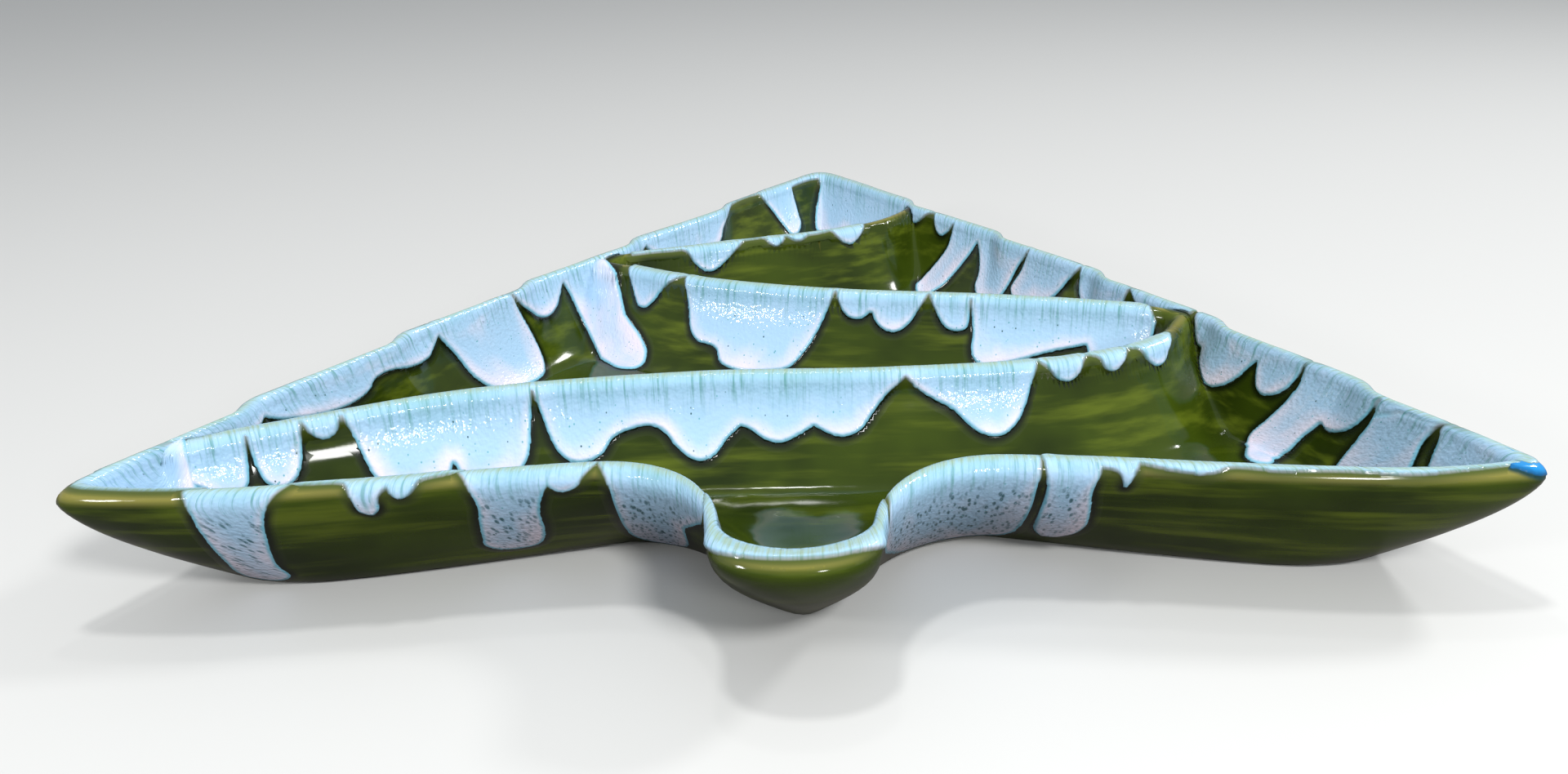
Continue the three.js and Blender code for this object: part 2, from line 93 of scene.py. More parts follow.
def spaced(points, pitch):  # the same line in even steps
    count = max(2, int(round(runOf(points)[-1] / pitch)))
    return atShare(points, np.linspace(0, 1, count + 1))


def roundedCorner(before, corner, after, radius):
    before, corner, after = (np.asarray(p, float) for p in (before, corner, after))
    legs = [before - corner, after - corner]
    cut = min([radius] + [np.linalg.norm(v) * dish["cornerCut"] for v in legs])
    enter, leave = (corner + v / np.linalg.norm(v) * cut for v in legs)
    return bezier([enter, corner, leave], np.linspace(0, 1, dish["cornerPoints"]))


frontCorner = np.array([dish["cornerHalfWidth"], 0.0])
tip = np.array([0.0, dish["tipReach"]])
sideAlong = (tip - frontCorner) / np.linalg.norm(tip - frontCorner)
sideOut = np.array([sideAlong[1], -sideAlong[0]])


def onSide(share, inset):  # along the right side, which bows out a little
    share = np.asarray(share, float)[..., None]
    bulge = dish["sideBow"] * 4 * share * (1 - share) - inset
    return frontCorner + (tip - frontCorner) * share + sideOut * bulge


# right half of the rim in three stretches, each with its foot on the table
def halfOutline():
    d = dish
    shoulder = (d["trunkHalfWidth"], -d["trunkShoulder"])
    scallop = (d["scallopHalfWidth"], d["scallopDepth"])
    fine = np.linspace(0, 1, d["curvePoints"])
    fall = between(d["trunkShoulder"], d["trunkReach"], d["lipFall"])
    lip = bezier([(0, -d["trunkReach"]), (d["trunkHalfWidth"] * d["lipBelly"], -d["trunkReach"]),
                  (d["trunkHalfWidth"], -fall), shoulder], fine)
    ease = between(d["trunkHalfWidth"], d["scallopHalfWidth"], d["throatEase"])
    throat = bezier([shoulder, (d["trunkHalfWidth"], -d["trunkShoulder"] * d["throatEase"]),
                     (ease, d["scallopDepth"]), scallop], fine)
    corners = [frontCorner]
    run = d["tierRun"] / np.linalg.norm(tip - frontCorner)
    for tier in range(1, d["tierCount"]):
        share = tier * (1 - d["topTierShare"]) / (d["tierCount"] - 1)
        corners += [onSide(share - run, d["tierStep"]), onSide(share, 0.0)]
    corners.append(tip)
    front = bezier([scallop, (d["scallopHalfWidth"] * d["scallopBelly"], d["scallopDepth"]),
                    (d["cornerHalfWidth"] * d["frontCornerPull"], -d["frontSag"]), frontCorner], fine)
    cornerRound = roundedCorner(front[-d["cornerLead"]], frontCorner, corners[1], d["cornerRadius"])
    half = len(cornerRound) // 2
    ends = np.linalg.norm(front - frontCorner, axis=1) > d["cornerRadius"]
    side = [cornerRound[half:]]
    for before, corner, after in zip(corners, corners[1:-1], corners[2:]):
        side.append(roundedCorner(before, corner, after, d["stepRadius"]))
    tipRound = roundedCorner(corners[-2], tip, corners[-2] * (-1, 1), d["tipRadius"])
    side.append(tipRound[:half + 1])
    rims = [np.vstack([lip, throat[1:]]), np.vstack([front[ends], cornerRound[:half + 1]]), np.vstack(side)]
    inset = d["wallInset"]
    keel = np.array([0, inset * d["keelDepth"] - d["trunkReach"]])
    footScallop = np.array([d["scallopHalfWidth"], d["scallopDepth"] + inset])
    footCorner = np.array([d["cornerHalfWidth"] - d["footCornerInset"], d["footCornerDepth"]])
    footTip = np.array([0, d["tipReach"] - inset * d["footTipDepth"]])
    across = np.array([footTip[1] - footCorner[1], footCorner[0] - footTip[0]])
    sidePull = (footCorner + footTip) / 2 + across / np.linalg.norm(across) * d["sideBow"] * 2
    frontPull = np.array([between(footScallop[0], footCorner[0], d["footFrontPull"]), footCorner[1]])
    enter, leave = (footCorner + (p - footCorner) / np.linalg.norm(p - footCorner) * d["footCornerCut"]
                    for p in (frontPull, sidePull))
    before, after = (enter + footCorner) / 2, (leave + footCorner) / 2
    turn = (before + after) / 2
    feet = [
        bezier([keel, (d["keelHalfWidth"], keel[1]),
                (between(d["keelHalfWidth"], d["scallopHalfWidth"], d["keelBelly"]), footScallop[1]),
                footScallop], fine),
        np.vstack([bezier([footScallop, frontPull, enter], fine), bezier([enter, before, turn], fine)[1:]]),
        np.vstack([bezier([turn, after, leave], fine), bezier([leave, sidePull, footTip], fine)[1:]]),
    ]
    return rims, feet


# closed ring of columns: rim point, the same without steps, foot point, and the run along the rim
def rimColumns():
    rims, feet = halfOutline()
    rim, even, foot = [], [], []
    for index, (line, base) in enumerate(zip(rims, feet)):
        line = spaced(line, dish["columnPitch"])
        share = runOf(line) / runOf(line)[-1]
        rim.append(line[:-1])
        stepped = index == 2  # the side, and its steps are evened out
        even.append((onSide(share, dish["tierStep"] / 2) if stepped else line)[:-1])
        foot.append(atShare(base, share)[:-1])
        last = line[-1:], line[-1:], base[-1:]
    half = [np.vstack(part + [end]) for part, end in zip((rim, even, foot), last)]
    whole = [np.vstack([part, (part[1:-1] * (-1, 1))[::-1]]) for part in half]
    ring = np.vstack([whole[0], whole[0][:1]])
    return whole + [runOf(ring)]


def wallSection():  # inset and height, from the foot over the lip and down to the floor
    d = dish
    lipHeight = d["rimHeight"] - d["rimRadius"]
    climb = np.linspace(0, 1, d["hullRows"] + 1) ** d["hullSpread"]
    z = between(d["footRounding"], lipHeight, climb)
    hull = np.stack([d["wallInset"] * ((lipHeight - z) / lipHeight) ** d["hullFullness"], z], -1)
    turn = np.linspace(0, math.pi, d["lipRows"] + 1)[1:-1]
    lip = np.stack([d["rimRadius"] * (1 - np.cos(turn)), lipHeight + d["rimRadius"] * np.sin(turn)], -1)
    inside = d["rimRadius"] * 2
    lean = between(inside, d["coveReach"], d["coveLean"])
    inner = bezier([(inside, lipHeight), (lean, d["rimHeight"] * d["coveStart"]),
                    (d["coveReach"] * d["coveSweep"], d["floorThickness"]),
                    (d["coveReach"], d["floorThickness"])], np.linspace(0, 1, d["innerRows"] + 1))
    return np.vstack([[(d["wallInset"] + d["footRounding"], 0.0)], hull, lip, inner])


rimLine, evenLine, footLine, rimRun = rimColumns()
section = wallSection()
crestRow = int(np.argmax(section[:, 1]))
sectionRun = runOf(section) - runOf(section)[crestRow]


# place on the wall: a column may be a fraction, and the steps fade out down the wall
def onWall(column, inset):
    count = len(rimLine)
    low = np.floor(column).astype(int)
    part = (column - low)[..., None]
    pick = lambda line: line[low % count] * (1 - part) + line[(low + 1) % count] * part
    inward = (inset / dish["wallInset"])[..., None]
    fade = np.clip(inward, 0, 1)
    top = pick(rimLine) * (1 - fade) + pick(evenLine) * fade
    return top + (pick(footLine) - top) * inward


def catmullRom(points, perSpan=40):
    p = np.vstack([2 * points[0] - points[1], points, 2 * points[-1] - points[-2]])
    out = []
    for p0, p1, p2, p3 in zip(p, p[1:], p[2:], p[3:]):
        d0, d1, d2 = (math.sqrt(np.linalg.norm(b - a)) for a, b in ((p0, p1), (p1, p2), (p2, p3)))
        t1 = ((p1 - p0) / d0 - (p2 - p0) / (d0 + d1) + (p2 - p1) / d1) * d1
        t2 = ((p2 - p1) / d1 - (p3 - p1) / (d1 + d2) + (p3 - p2) / d2) * d1
        t = np.linspace(0, 1, perSpan, endpoint=False)[:, None]
        out.append(p1 + t1 * t + (3 * (p2 - p1) - 2 * t1 - t2) * t**2 + (2 * (p1 - p2) + t1 + t2) * t**3)
    return np.vstack(out + [points[-1:]])


# the three divider legs: routes in shares of the half width and of the reach of the tip, the rest in mm
dividers = dict(
    drop=1.0, crestRadius=3.0, footHalfWidth=22.0, flare=1.7,
    crestTurn=math.pi / 2.4,  # how far the round of the crest goes over
    footSink=2.0,  # the foot runs out this far under the floor
    facePoints=2000,
    routes=dict(
        lower=[(-0.965, 0.073), (-0.737, 0.142), (-0.538, 0.193), (-0.193, 0.227), (0.158, 0.231),
               (0.433, 0.252), (0.585, 0.298), (0.678, 0.39)],
        middle=[(0.66, 0.366), (0.59, 0.392), (0.357, 0.428), (0.02, 0.462), (-0.216, 0.508),
                (-0.374, 0.56), (-0.51, 0.597)],
        upper=[(-0.453, 0.588), (-0.333, 0.615), (-0.138, 0.655), (0.039, 0.691), (0.148, 0.737),
               (0.234, 0.813)],
    ),
)
legRoutes = {leg: catmullRom(np.array(route) * (dish["cornerHalfWidth"], dish["tipReach"]))
             for leg, route in dividers["routes"].items()}


def smoothMax(a, b, reach):  # the higher one, with a fillet between them
    share = np.clip(0.5 + 0.5 * (a - b) / reach, 0, 1)
    return b + (a - b) * share + reach * share * (1 - share)


# height of a divider's clay at a distance from its route
def dividerHeight(distance):
    c = dividers
    crest = dish["rimHeight"] - c["drop"]
    edge = c["crestRadius"] * math.sin(c["crestTurn"])
    shoulder = crest - c["crestRadius"] * (1 - math.cos(c["crestTurn"]))
    distance = np.asarray(distance, float)
    top = crest - c["crestRadius"] + np.sqrt(np.maximum(c["crestRadius"] ** 2 - distance**2, 0))
    out = np.clip((distance - edge) / (c["footHalfWidth"] - edge), 0, 1)
    face = between(shoulder, dish["floorThickness"] - c["footSink"], out ** (1 / c["flare"]))
    return np.where(distance < edge, top, face)


def distanceToRoute(plan, route):
    a, b = route[:-1], route[1:]
    best = np.empty(len(plan))
    batch = 4000  # points at a time, to spare memory
    for start in range(0, len(plan), batch):
        p = plan[start:start + batch, None, :]
        t = np.clip(((p - a) * (b - a)).sum(-1) / ((b - a) ** 2).sum(-1), 0, 1)[..., None]
        best[start:start + batch] = np.linalg.norm(p - a - (b - a) * t, axis=-1).min(1)
    return best


# clay height inside the dish: wall or floor, with the three legs worked into it
def insideHeight(plan, height, inset):
    flat, z = plan.reshape(-1, 2), height.reshape(-1).copy()
    inside = np.clip((inset.reshape(-1) - dish["rimRadius"]) / dish["rimRadius"], 0, 1)
    for route in legRoutes.values():
        reach = dish["fillet"] * np.clip((dish["rimHeight"] - z) / dish["fillet"] / 2, dish["leastFillet"], 1)
        worked = smoothMax(z, dividerHeight(distanceToRoute(flat, route)), reach)
        z = z + (worked - z) * inside
    return z.reshape(height.shape)


def toRow(plan, height):  # to the row frame, in metres
    shifted = np.stack([plan[..., 0], plan[..., 1] + cornerLine, height], -1)
    return shifted * mm


def newMesh(name, points, faces, material):
    mesh = bpy.data.meshes.new(name)
    mesh.from_pydata([tuple(p) for p in points], [], faces)
    mesh.validate()
    mesh.update()
    mesh.shade_smooth()
    if material:
        mesh.materials.append(material)
    piece = bpy.data.objects.new(name, mesh)
    bpy.context.scene.collection.objects.link(piece)
    return piece


def ringFaces(rows, columns):
    r, c = np.meshgrid(np.arange(rows - 1), np.arange(columns), indexing="ij")
    a, b = r * columns + c, r * columns + (c + 1) % columns
    return np.stack([a, b, b + columns, a + columns], -1).reshape(-1, 4).tolist()


# where the green runs thin, in mm: outside the lip, less so at the trunk, and on the crests of the dividers
thinGlaze = dict(belowCrest=2.6, reach=2.2, reachAtTrunk=1.3, nearTrunk=30.0, clearOfTrunk=90.0,
                 crestFade=0.64)  # share of it lost in each mm from a crest


def lipThinness(along, down):
    g = thinGlaze
    run = np.mod(along, rimRun[-1])
    fromTrunk = np.minimum(run, rimRun[-1] - run)
    reach = np.interp(fromTrunk, (g["nearTrunk"], g["clearOfTrunk"]), (g["reachAtTrunk"], g["reach"]))
    return np.clip(1 - np.abs(down + g["belowCrest"]) / reach, 0, 1)


def crestThinness(distance):
    return np.clip(1 - thinGlaze["crestFade"] * distance, 0, 1)


# shell and legs under one skin of glaze, and the bare hollow of the shell, which coats are laid on
def makeBody(material):
    columns = np.arange(len(rimLine), dtype=float)
    grid = lambda inset: onWall(np.broadcast_to(columns, (len(inset), len(columns))),
                                np.broadcast_to(inset[:, None], (len(inset), len(columns))))
    plan = grid(section[:, 0])
    height = np.repeat(section[:, 1:], len(columns), axis=1)
    pole = np.array([0.0, dish["poleReach"]])
    inward = np.linspace(0, 1, dish["floorRows"] + 1)[1:-1, None, None]
    floorPlan = plan[-1] + (pole - plan[-1]) * inward
    plan = np.concatenate([plan, floorPlan])
    height = np.concatenate([height, np.full(floorPlan.shape[:2], dish["floorThickness"])])
    inset = np.concatenate([section[:, 0], np.full(len(floorPlan), dish["coveReach"])])
    low = np.concatenate([plan, height[..., None]], -1)[crestRow:].reshape(-1, 3)
    hollow = BVHTree.FromPolygons(low.tolist(), ringFaces(len(plan) - crestRow, len(columns)))
    inner = slice(crestRow, None)
    insets = np.repeat(inset[inner, None], len(columns), axis=1)
    height[inner] = insideHeight(plan[inner], height[inner], insets)
    points = toRow(plan, height).reshape(-1, 3)
    rows, count = len(plan), len(columns)
    poleHeight = insideHeight(pole[None], np.array([dish["floorThickness"]]), np.array([dish["coveReach"]]))
    ends = [toRow(pole[None], np.zeros(1))[0], toRow(pole[None], poleHeight)[0]]
    faces = ringFaces(rows, count)
    base, top = len(points), len(points) + 1
    last = (rows - 1) * count
    for i in range(count):
        j = (i + 1) % count
        faces += [(base, j, i), (top, last + i, last + j)]
    piece = newMesh("glazedBody", np.vstack([points, ends]), faces, material)
    fromLeg = np.min([distanceToRoute(plan.reshape(-1, 2), route) for route in legRoutes.values()], axis=0)
    thin = np.where(np.arange(rows)[:, None] >= crestRow, crestThinness(fromLeg.reshape(rows, count)), 0)
    lip = lipThinness(rimRun[None, :count], sectionRun[:, None])
    thin[:len(section)] = np.maximum(thin[:len(section)], lip)
    thin = np.append(thin.reshape(-1), [0, 0])  # and the two poles
    piece.data.attributes.new("thin", "FLOAT", "POINT").data.foreach_set("value", thin.astype(np.float32))
    return piece, hollow


# the overglaze, poured over rim and dividers, in mm: levels are distances inward from a coat's edge
coating = dict(
    thin=0.3, thick=0.85, bead=1.6, film=0.12, sink=0.3,
    crestShare=0.15,  # share of the way from crest to edge that stays thin
    levels=(-2.6, 0.0, 0.3, 0.8, 1.6),  # outer edge of the dark line, edge of the coat, rings of its bead
    pitch=0.8, edgePitch=0.4, margin=3, spanPoints=10, snap=0.15, leastRun=0.5,
)
# near and far edge of each coat in lobes, each point a run along the rim or the leg's route and a run down
# from the crest, inside or towards the trunk positive, and the next lobe's start closing the one before
coats = dict(
    right_front_glaze=dict(
        near=[
            [(194, 3), (198, 13), (205, 21.5), (210.5, 22), (214, 16.8), (216.8, 11.5), (218.4, 7)],
            [(220, 1.5), (221.4, 8), (220.5, 12), (218.5, 16.5), (215.5, 22), (213, 29), (215, 35.5),
             (221, 39), (227.5, 37), (232, 32.5), (236, 25.5), (238, 18), (238.7, 10)],
            [(239.3, 2), (240.4, 9), (241.2, 12.5), (243, 16.8), (245.8, 19.2), (249, 19.8)],
            [(252.2, 18.6), (252.2, 25), (250.8, 30), (248.5, 35), (246, 40), (241.5, 45), (239, 48),
             (236.8, 50), (234, 52), (230.8, 54), (227.8, 56), (225.6, 58.5), (227, 61), (231, 61),
             (234.8, 60), (239.4, 58), (243.4, 56), (246.8, 54), (250, 52), (253.4, 50), (255.8, 48),
             (258.5, 45), (263.5, 40), (266.8, 35), (268.2, 29), (268.4, 19), (267.7, 10)],
            [(268.3, 2), (269.4, 9), (270.6, 13), (273.5, 16.8), (277, 18), (280.5, 16.3), (283, 12.4)],
            [(284.7, 7.6), (286.7, 11.5), (289, 17), (292, 21.5), (295.5, 24), (298.5, 25.3), (302.5, 22),
             (306.5, 17)], [(308.7, 12), (311, 11.6), (313.6, 8.7), (315.3, 5)], [(316.6, 1)]],
        far=[
            [(194, -1), (206, -3.5), (214, -2)],
            [(220, -0.8), (228, -3), (236, -3.5), (247, -8), (258, -4)],
            [(268, -0.8), (280, -3), (291, -7), (302, -3)], [(316.6, -1)]]),
    right_middle_glaze=dict(
        near=[
            [(318, 2.5), (323, 6.5), (331, 7.5), (340, 6.5)],
            [(345.5, 1.5), (347.7, 9), (352, 14), (360, 17), (367, 16), (371.5, 10.5)],
            [(373.2, 2), (378, 8.5), (382, 15), (388, 20), (396, 23), (404, 23), (406.8, 19.5),
             (402.4, 10)],
            [(399.6, 2), (404.4, 10), (408.9, 20), (413, 26), (420, 29), (426.5, 29), (429.3, 25),
             (428.6, 19), (429.6, 13)],
            [(432, 7), (435, 12), (438.5, 17), (443, 23), (449, 30), (456, 36), (462, 40.5), (467, 41),
             (468.5, 38), (464, 31), (458, 24), (453, 18), (449, 12)],
            [(446.6, 3), (450, 7), (454, 9.3), (457.3, 7.3)],
            [(459, 1.2), (462.5, 2.4), (466, 5), (470, 7.5), (477, 8)], [(484, 2.5)]],
        far=[
            [(318, -1), (330, -4), (340, -3)], [(345.5, -0.8), (360, -7), (368, -3)],
            [(373.2, -0.8), (395, -4), (405, -9), (418, -5), (440, -3)], [(459, -0.8), (468, -4)],
            [(484, -2)]]),
    tip_glaze=dict(
        near=[
            [(480, 3), (486, 13), (496, 21), (508, 25), (520, 25), (533, 26), (541, 27), (546.5, 24.5),
             (547, 19.5), (546, 15), (544, 10), (542.6, 6)], [(543.4, 3.4), (552, 3), (559, 3.2)],
            [(561.8, 3.4), (560.5, 8), (558.4, 15), (557, 19.8), (559.5, 23.3), (564.5, 22.8),
             (570, 17.5), (576.5, 10), (581, 5)], [(584, 1.3), (593, 0.7), (601, 1.6)],
            [(604, 3), (609, 5.5), (612.5, 8.5), (614.5, 13), (620, 17), (632, 18), (645, 14), (653, 9)],
            [(660, 3)]],
        far=[
            [(480, -2), (497, -5), (515, -3), (530, -6), (543, -3), (565, -5)],
            [(586, -0.5), (600, -0.5)], [(604, -1), (632, -7)], [(660, -2)]]),
    left_wall_glaze=dict(
        near=[
            [(-430, 3), (-422, 8), (-412, 9), (-404, 6)],
            [(-401.5, 3), (-401, 15), (-400.8, 30), (-402, 45), (-400.5, 58), (-398.5, 68), (-395, 75),
             (-388, 78), (-381, 75.5), (-377.8, 69), (-380, 60), (-382.4, 50), (-383.6, 40), (-383.7, 28),
             (-382.4, 18), (-381.2, 11)],
            [(-379.5, 5.8), (-376.5, 10.5), (-372.5, 14.5), (-368, 15.8), (-363.5, 14.3), (-359.5, 10.7),
             (-356, 7)],
            [(-352.6, 1.5), (-354.6, 9), (-356.6, 17), (-357.6, 26), (-356.4, 35), (-352.5, 42),
             (-345, 45.5), (-335, 43), (-327.5, 36), (-324, 26), (-322.4, 15)],
            [(-319.4, 6.2), (-316.5, 9), (-313, 11.8), (-308, 12.5), (-302.5, 11.5), (-297.5, 10)],
            [(-293, 9.3), (-288.5, 10.3), (-285.5, 12.7), (-280, 14.5), (-272, 14.8), (-262, 13),
             (-253.5, 9.6)], [(-250, 7), (-246, 8.6), (-240, 9), (-230, 7)], [(-222, 3)]],
        far=[
            [(-430, -2), (-412, -5), (-398, -3), (-380, -10), (-368, -4)],
            [(-352.6, -0.8), (-345, -3), (-330, -8)], [(-319.4, -1), (-285, -5), (-262, -2), (-245, -6)],
            [(-222, -2)]]),
    left_corner_glaze=dict(
        near=[
            [(-226, 4), (-221, 13), (-215, 21), (-209, 26.5), (-206.5, 28.5), (-202, 31), (-196.5, 31),
             (-190, 25), (-183, 17.5), (-174, 9)], [(-164, 2)]],
        far=[
            [(-226, -1), (-220, -2), (-213, -3.5), (-204, -1), (-190, 0)], [(-164, 0)]]),
    front_left_run_glaze=dict(
        near=[
            [(-168, 1), (-163, 5), (-155, 6), (-148, 4)], [(-143.5, 0)]],
        far=[
            [(-168, 0), (-164.6, -5), (-166, -11), (-169.8, -20), (-175, -30), (-180.3, -38), (-182, -43),
             (-178, -45.6), (-172.5, -44.6), (-167.5, -41), (-164.3, -34), (-160, -27), (-155.5, -20),
             (-149.8, -10), (-146, -4)], [(-143.5, 0)]]),
    front_left_rim_glaze=dict(
        near=[
            [(-145, 1), (-138, 4), (-128, 5), (-118, 4.5)], [(-104, 1)]],
        far=[
            [(-145, 0), (-138, -0.6), (-131, -1.5), (-128.8, -5), (-128.3, -9), (-126, -10.9),
             (-123.6, -9), (-122.3, -5)], [(-121, -3.2), (-118.5, -6), (-115.5, -5.2)],
            [(-113.5, -2), (-108, -0.8)], [(-104, 0)]]),
    front_middle_run_glaze=dict(
        near=[
            [(-106, 0), (-101, 5), (-92, 9), (-82, 6)], [(-73, 1)]],
        far=[
            [(-106, 0), (-103, -4), (-102.2, -10), (-104.8, -19), (-107.8, -28), (-109.7, -34),
             (-107.5, -38), (-102, -39), (-96.5, -37.5), (-93, -33), (-90.3, -25), (-88.8, -16),
             (-86.5, -9)], [(-84.7, -5.4), (-82.3, -7.6), (-79, -6.8)], [(-75.5, -2.5), (-73, 0)]]),
    left_throat_run_glaze=dict(
        near=[
            [(-73.5, 1), (-68, 8), (-58, 10), (-48, 8)], [(-36, 3)]],
        far=[
            [(-73.5, 0), (-71, -5), (-70.6, -15), (-70.6, -30), (-69.5, -39), (-66, -44), (-60, -45.6),
             (-54, -44.5), (-51.5, -38), (-51, -28), (-50.6, -21), (-47, -15.5), (-42.5, -10.5),
             (-38.5, -6.5)], [(-36, -2)]]),
    trunk_lip_glaze=dict(
        near=[
            [(-39, 4), (-30, 9), (-20, 10), (-10, 7), (0, 6), (10, 8), (20, 9), (29, 8)], [(34.4, 2)]],
        far=[
            [(-39, 0), (-35.5, -3), (-31, -4.6), (-25, -4.4), (-19, -3.2), (-13, -2.2), (-6, -1.6),
             (1, -1.4), (9, -1.7), (15, -2.2), (21, -3.8), (26.5, -6), (31, -6.8)], [(34.4, -1)]]),
    right_throat_run_glaze=dict(
        near=[
            [(36.2, 2), (42, 9), (52, 11), (64, 9), (74, 6)], [(82.4, 1)]],
        far=[
            [(36.2, -1), (34.5, -7), (32, -11), (33.5, -20), (38, -30), (42, -39), (47, -44), (56, -45.6),
             (66, -45.6), (75, -44.5), (79.5, -40), (81, -32), (81.6, -20), (81.6, -8)], [(82.4, -1)]]),
    front_right_run_glaze=dict(
        near=[
            [(82.4, 1), (88, 6), (97, 5), (110, 4.5), (128, 5), (145, 4), (165, 5), (182, 4)], [(194, 2)]],
        far=[
            [(82.4, -1), (83.4, -8), (83.6, -22), (84.5, -34), (88, -39.3), (93, -39), (96.5, -35.5),
             (97.8, -29), (96.3, -19), (94.6, -9)], [(96, -3), (99.5, -3.8), (101.5, -8.5), (103, -5)],
            [(105, -1.5), (112, -3), (120, -3.4), (126, -1.5), (136, -2), (150, -1.4), (165, -2.2),
             (180, -1)], [(194, 0)]]),
    right_corner_touch=dict(
        thick=0.5,
        near=[
            [(189, -1), (193, 3), (199, 4.5), (204, 3)], [(208, -1)]],
        far=[
            [(189, -1), (193, -3.5), (199, -4.5), (204, -3.5)], [(208, -1)]]),
    lower_divider_glaze=dict(
        leg="lower",
        near=[
            [(13.2, 0.6), (12.4, 4), (12.2, 8), (13.2, 11.2), (15.5, 12.8), (18, 14.4), (20.5, 16.2),
             (24, 16.6), (26.6, 14.8), (27.6, 11)],
            [(28.3, 2.5), (29.2, 11), (31, 15.6), (34.5, 17.2), (38, 15.6), (40.2, 11.5)],
            [(41.5, 1.5), (43.3, 5), (46, 7), (49, 6.3)],
            [(51.2, 1.8), (52.8, 6.5), (54.3, 13), (56.5, 20), (61, 24), (69, 25), (75, 24)],
            [(77.4, 19.5), (79.6, 24), (86, 25.3), (94, 25), (97.8, 20.5), (99.2, 13)],
            [(100.3, 2.5), (102, 9), (103.5, 14.5), (105.5, 19.5), (109, 22.8), (113.5, 23.3),
             (118, 21.3), (121, 17.3), (126, 15.2), (131, 14.6), (134.5, 16.2), (138, 21), (141.5, 24.2),
             (145, 25.2), (149, 23.6), (152.5, 19.3)],
            [(156.3, 15.8), (159, 17), (163, 19.8), (167.5, 20.7), (172, 18.8)],
            [(176.3, 16.1), (180, 18.3), (184.5, 19.3), (189, 17.3), (192.3, 12.8), (196, 8)],
            [(201.2, 3.2), (204, 6.5), (208.5, 9.8), (213, 12.3), (217, 16.5), (221, 20), (226, 20.9),
             (230.5, 18), (233.8, 12.5), (235.8, 6.5)],
            [(237.8, 0.8), (240.5, 3.5), (243, 6.5), (246, 7.5), (249, 5.8), (250.6, 2.8)],
            [(252.4, 0.6), (255.3, 2), (257, 5.3), (259.8, 6.6), (262.6, 4.8)],
            [(265.4, 0.8), (268.5, 2), (270.5, 5.3), (274, 8.3), (277.5, 7.8), (280, 4.5)], [(284, 1)]],
        far=[
            [(14.5, -0.3), (21, -1), (28, -2.5), (36, -5), (46, -10), (60, -8), (74, -14), (90, -9),
             (110, -7), (124, -12), (140, -8), (160, -9), (172, -15), (186, -9), (206, -7), (220, -11)],
            [(237.8, -1), (244, -4), (250, -3)], [(252.4, -0.8), (259, -3)], [(265.4, -0.8), (274, -3)],
            [(284, -0.5)]]),
    middle_divider_glaze=dict(
        leg="middle",
        near=[
            [(8, 5), (8.6, 12), (12, 17.5), (18, 20), (24, 20.2), (28.2, 18.4)],
            [(30, 14.8), (33.5, 15.8), (39, 17.2), (46, 19.6), (54, 22.3), (62, 23.5), (65.5, 20.5),
             (65.9, 12)], [(66.7, 2.5), (67.5, 11.4), (71, 12.7), (74.5, 11.6), (77.3, 7.5)],
            [(80, 1), (83, 6.2), (86, 11), (90, 13.6), (94, 13), (96.6, 10.6)],
            [(98.1, 7.4), (101, 9.7), (104.3, 9.8), (107, 7.8)],
            [(109.8, 1.2), (112, 8), (114.8, 15.5), (118, 22), (122, 27.5), (130, 30), (139, 30.3),
             (144.5, 28), (147, 23.6), (149.5, 22.6), (153.5, 22), (157, 18.8), (159.5, 11)],
            [(162.3, 0.8), (166.5, 3.3), (170.3, 6.8), (173, 11), (176, 13.9), (179, 13.8),
             (181.8, 10.5)], [(186, 1.5)]],
        far=[
            [(12, -0.5), (18, -3), (28, -7), (40, -5), (56, -11), (70, -7), (92, -6), (106, -12),
             (120, -8), (140, -10), (152, -12)], [(162.3, -1), (172, -5)], [(186, -3)]]),
    upper_divider_glaze=dict(
        leg="upper",
        near=[
            [(14, 1.5), (20, 1.6), (28, 2), (33, 2.6), (35.5, 7), (38.5, 10), (41.8, 10.7), (45.5, 8.8),
             (49, 6)], [(55, 0.9), (60, 0.7)], [(62, 0.7), (63.7, 3.2), (66.2, 4.5), (68.9, 3)],
            [(70.3, 0.8), (72.5, 2.8), (75.3, 3.4), (78.5, 1.9), (83, 1.5)],
            [(87.5, 0.9), (89.2, 4.2), (91.8, 6.5), (94.8, 7.1), (97.8, 5.3)], [(102, 0.8)]],
        far=[
            [(14, -3), (26, -6), (40, -4)], [(56, -0.8), (62, -1), (70, -4), (84, -5)], [(102, -1)]]),
)


# place on the clay at a run along the rim and a run down from the lip's crest, inward positive
def wallPlace(along, down):
    column = np.interp(np.mod(along, rimRun[-1]), rimRun, np.arange(len(rimRun)))
    inset = np.interp(down, sectionRun, section[:, 0])
    height = np.interp(down, sectionRun, section[:, 1])
    plan = onWall(column, inset)
    beyond = np.clip((down - sectionRun[-1]) / (dish["floorRun"] * dish["floorRows"]), 0, 1)[:, None]
    plan = plan + (np.array([0.0, dish["poleReach"]]) - plan) * beyond
    inside = down > 0
    height[inside] = insideHeight(plan[inside], height[inside], inset[inside])
    return np.concatenate([plan, height[:, None]], -1)


faceReach = np.linspace(0, dividers["footHalfWidth"], dividers["facePoints"])
faceRun = runOf(np.stack([faceReach, dividerHeight(faceReach)], -1))


